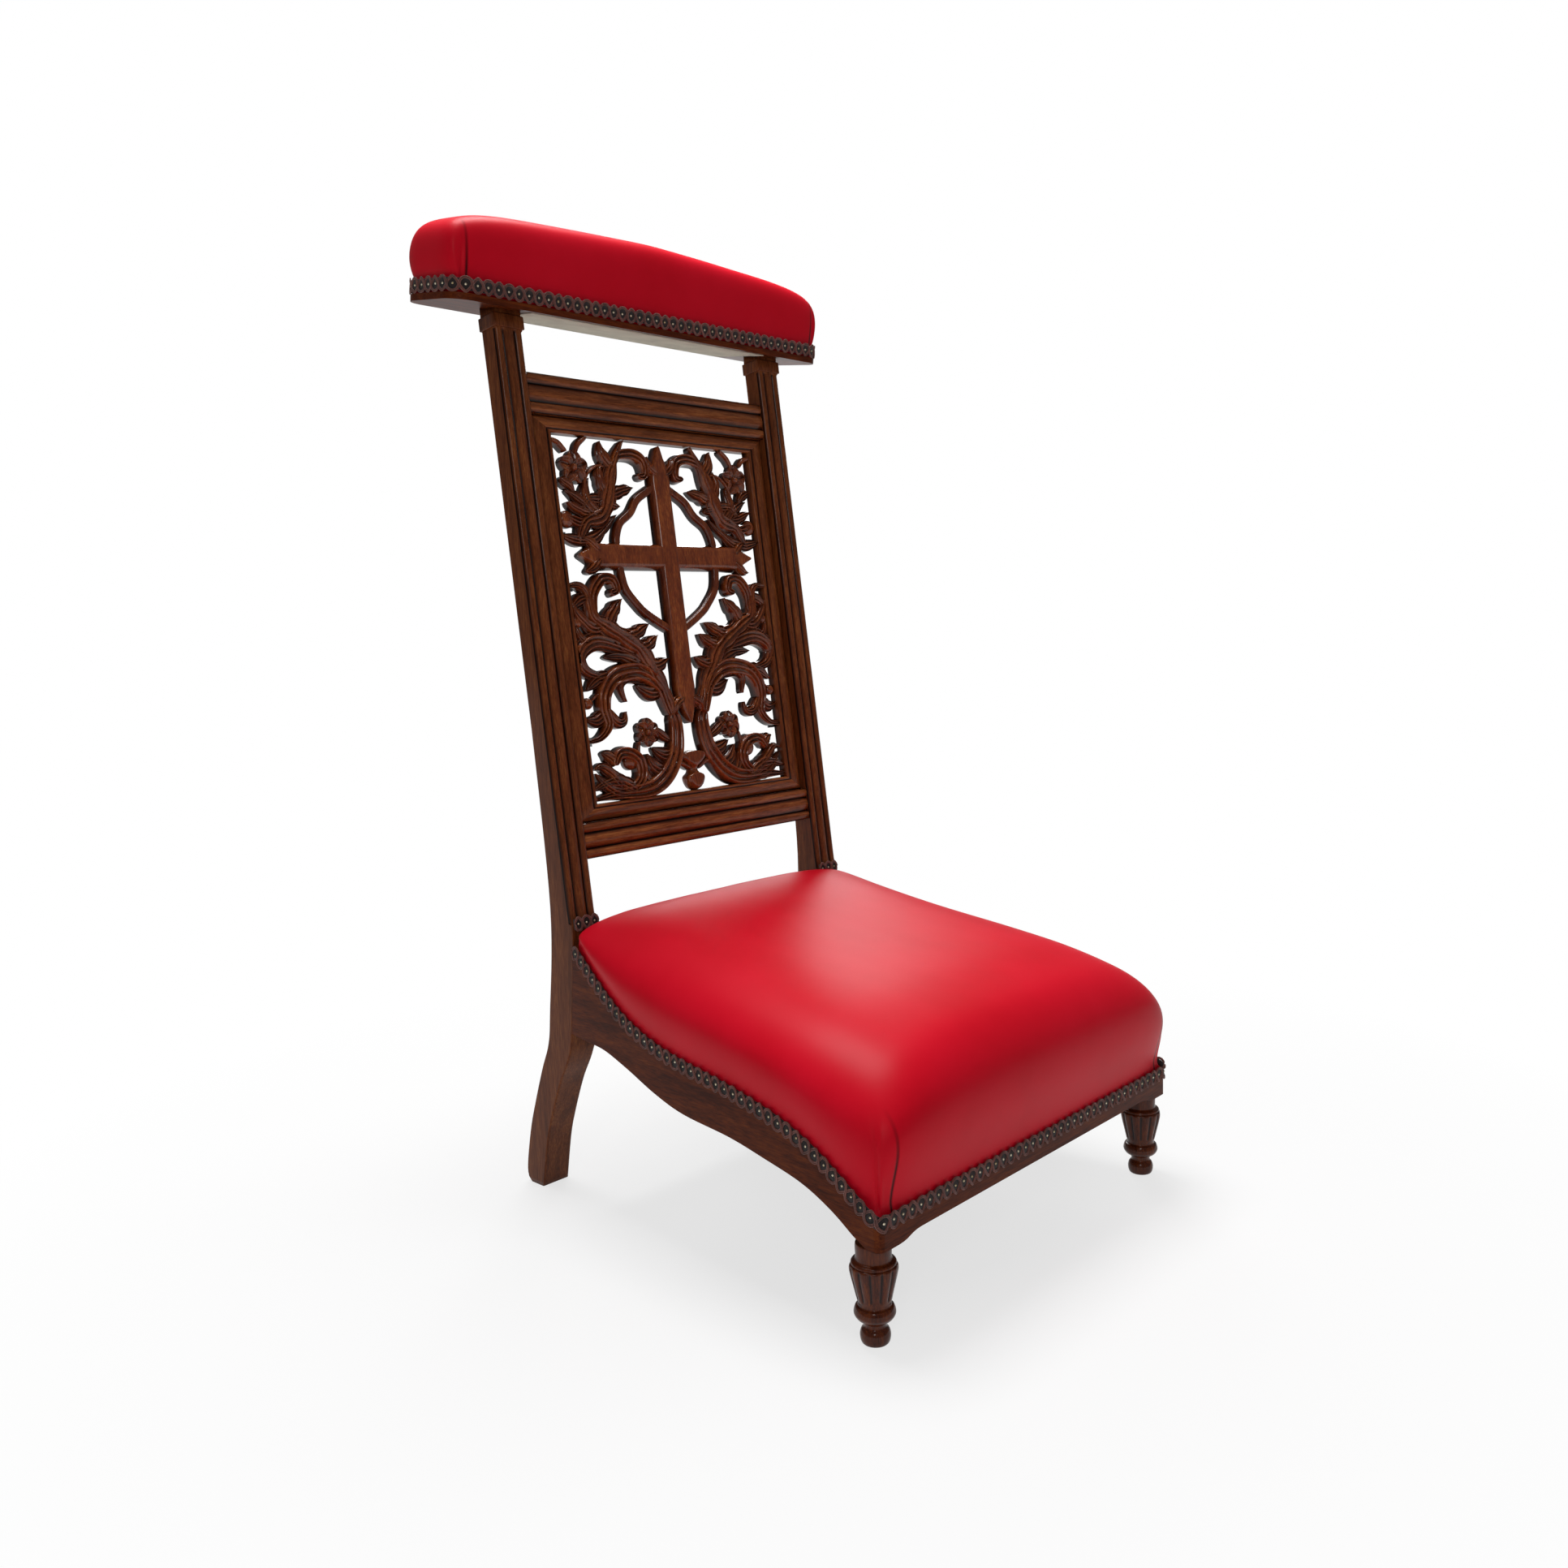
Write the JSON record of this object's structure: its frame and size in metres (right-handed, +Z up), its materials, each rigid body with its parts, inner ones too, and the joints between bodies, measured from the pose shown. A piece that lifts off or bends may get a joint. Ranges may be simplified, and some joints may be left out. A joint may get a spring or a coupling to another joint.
{
  "type": "prayer_kneeler_chair",
  "caption": "Low kneeling chair with a raked openwork carved back, a red leather seat and a padded arm rest edged with scroll braid",
  "frame": {"origin": "On the floor, under the middle of the chair's bounding box", "axes": "+Z up, front of the chair towards -Y, +X to the right of a viewer who faces the front"},
  "size_m": [0.508, 0.563, 0.9792],
  "materials": {
    "wood": "dark polished mahogany",
    "carved_wood": "dark polished carved mahogany",
    "inner_wood": "raw",
    "red_leather": "satin",
    "braid": "woven scroll braid",
    "brass": "tarnished",
    "steel": "bright drawn",
    "jute": "coarse weave",
    "stuffing": "matted hair",
    "linen": "plain weave",
    "dark_cloth": "plain weave"
  },
  "bodies": {
    "root": {"back_post_left": "wood", "back_post_right": "wood", "top_rail": "wood", "bottom_rail": "wood", "panel_moulding_top": "wood", "panel_moulding_bottom": "wood", "panel_moulding_left": "wood", "panel_moulding_right": "wood", "carved_panel": "carved_wood", "panel_clips": "steel", "side_rail_left": "wood", "side_rail_right": "wood", "front_rail": "wood", "rear_rail": "wood", "front_leg_left": "wood", "front_leg_right": "wood", "corner_blocks": "inner_wood", "corner_block_screws": "steel", "rail_dowels": "inner_wood", "seat_webbing": "jute", "seat_springs": "steel", "seat_hessian": "jute", "seat_stuffing": "stuffing", "seat_cover": "red_leather", "seat_dust_cloth": "dark_cloth", "seat_braid_left": "braid", "seat_braid_right": "braid", "seat_braid_front": "braid", "seat_braid_posts": "braid", "seat_braid_pins": "brass", "armrest_board": "wood", "armrest_stuffing": "stuffing", "armrest_cover": "red_leather", "armrest_bottom_cloth": "linen", "armrest_braid": "braid", "armrest_braid_pins": "brass", "armrest_screws": "steel"}
  },
  "joints": []
}
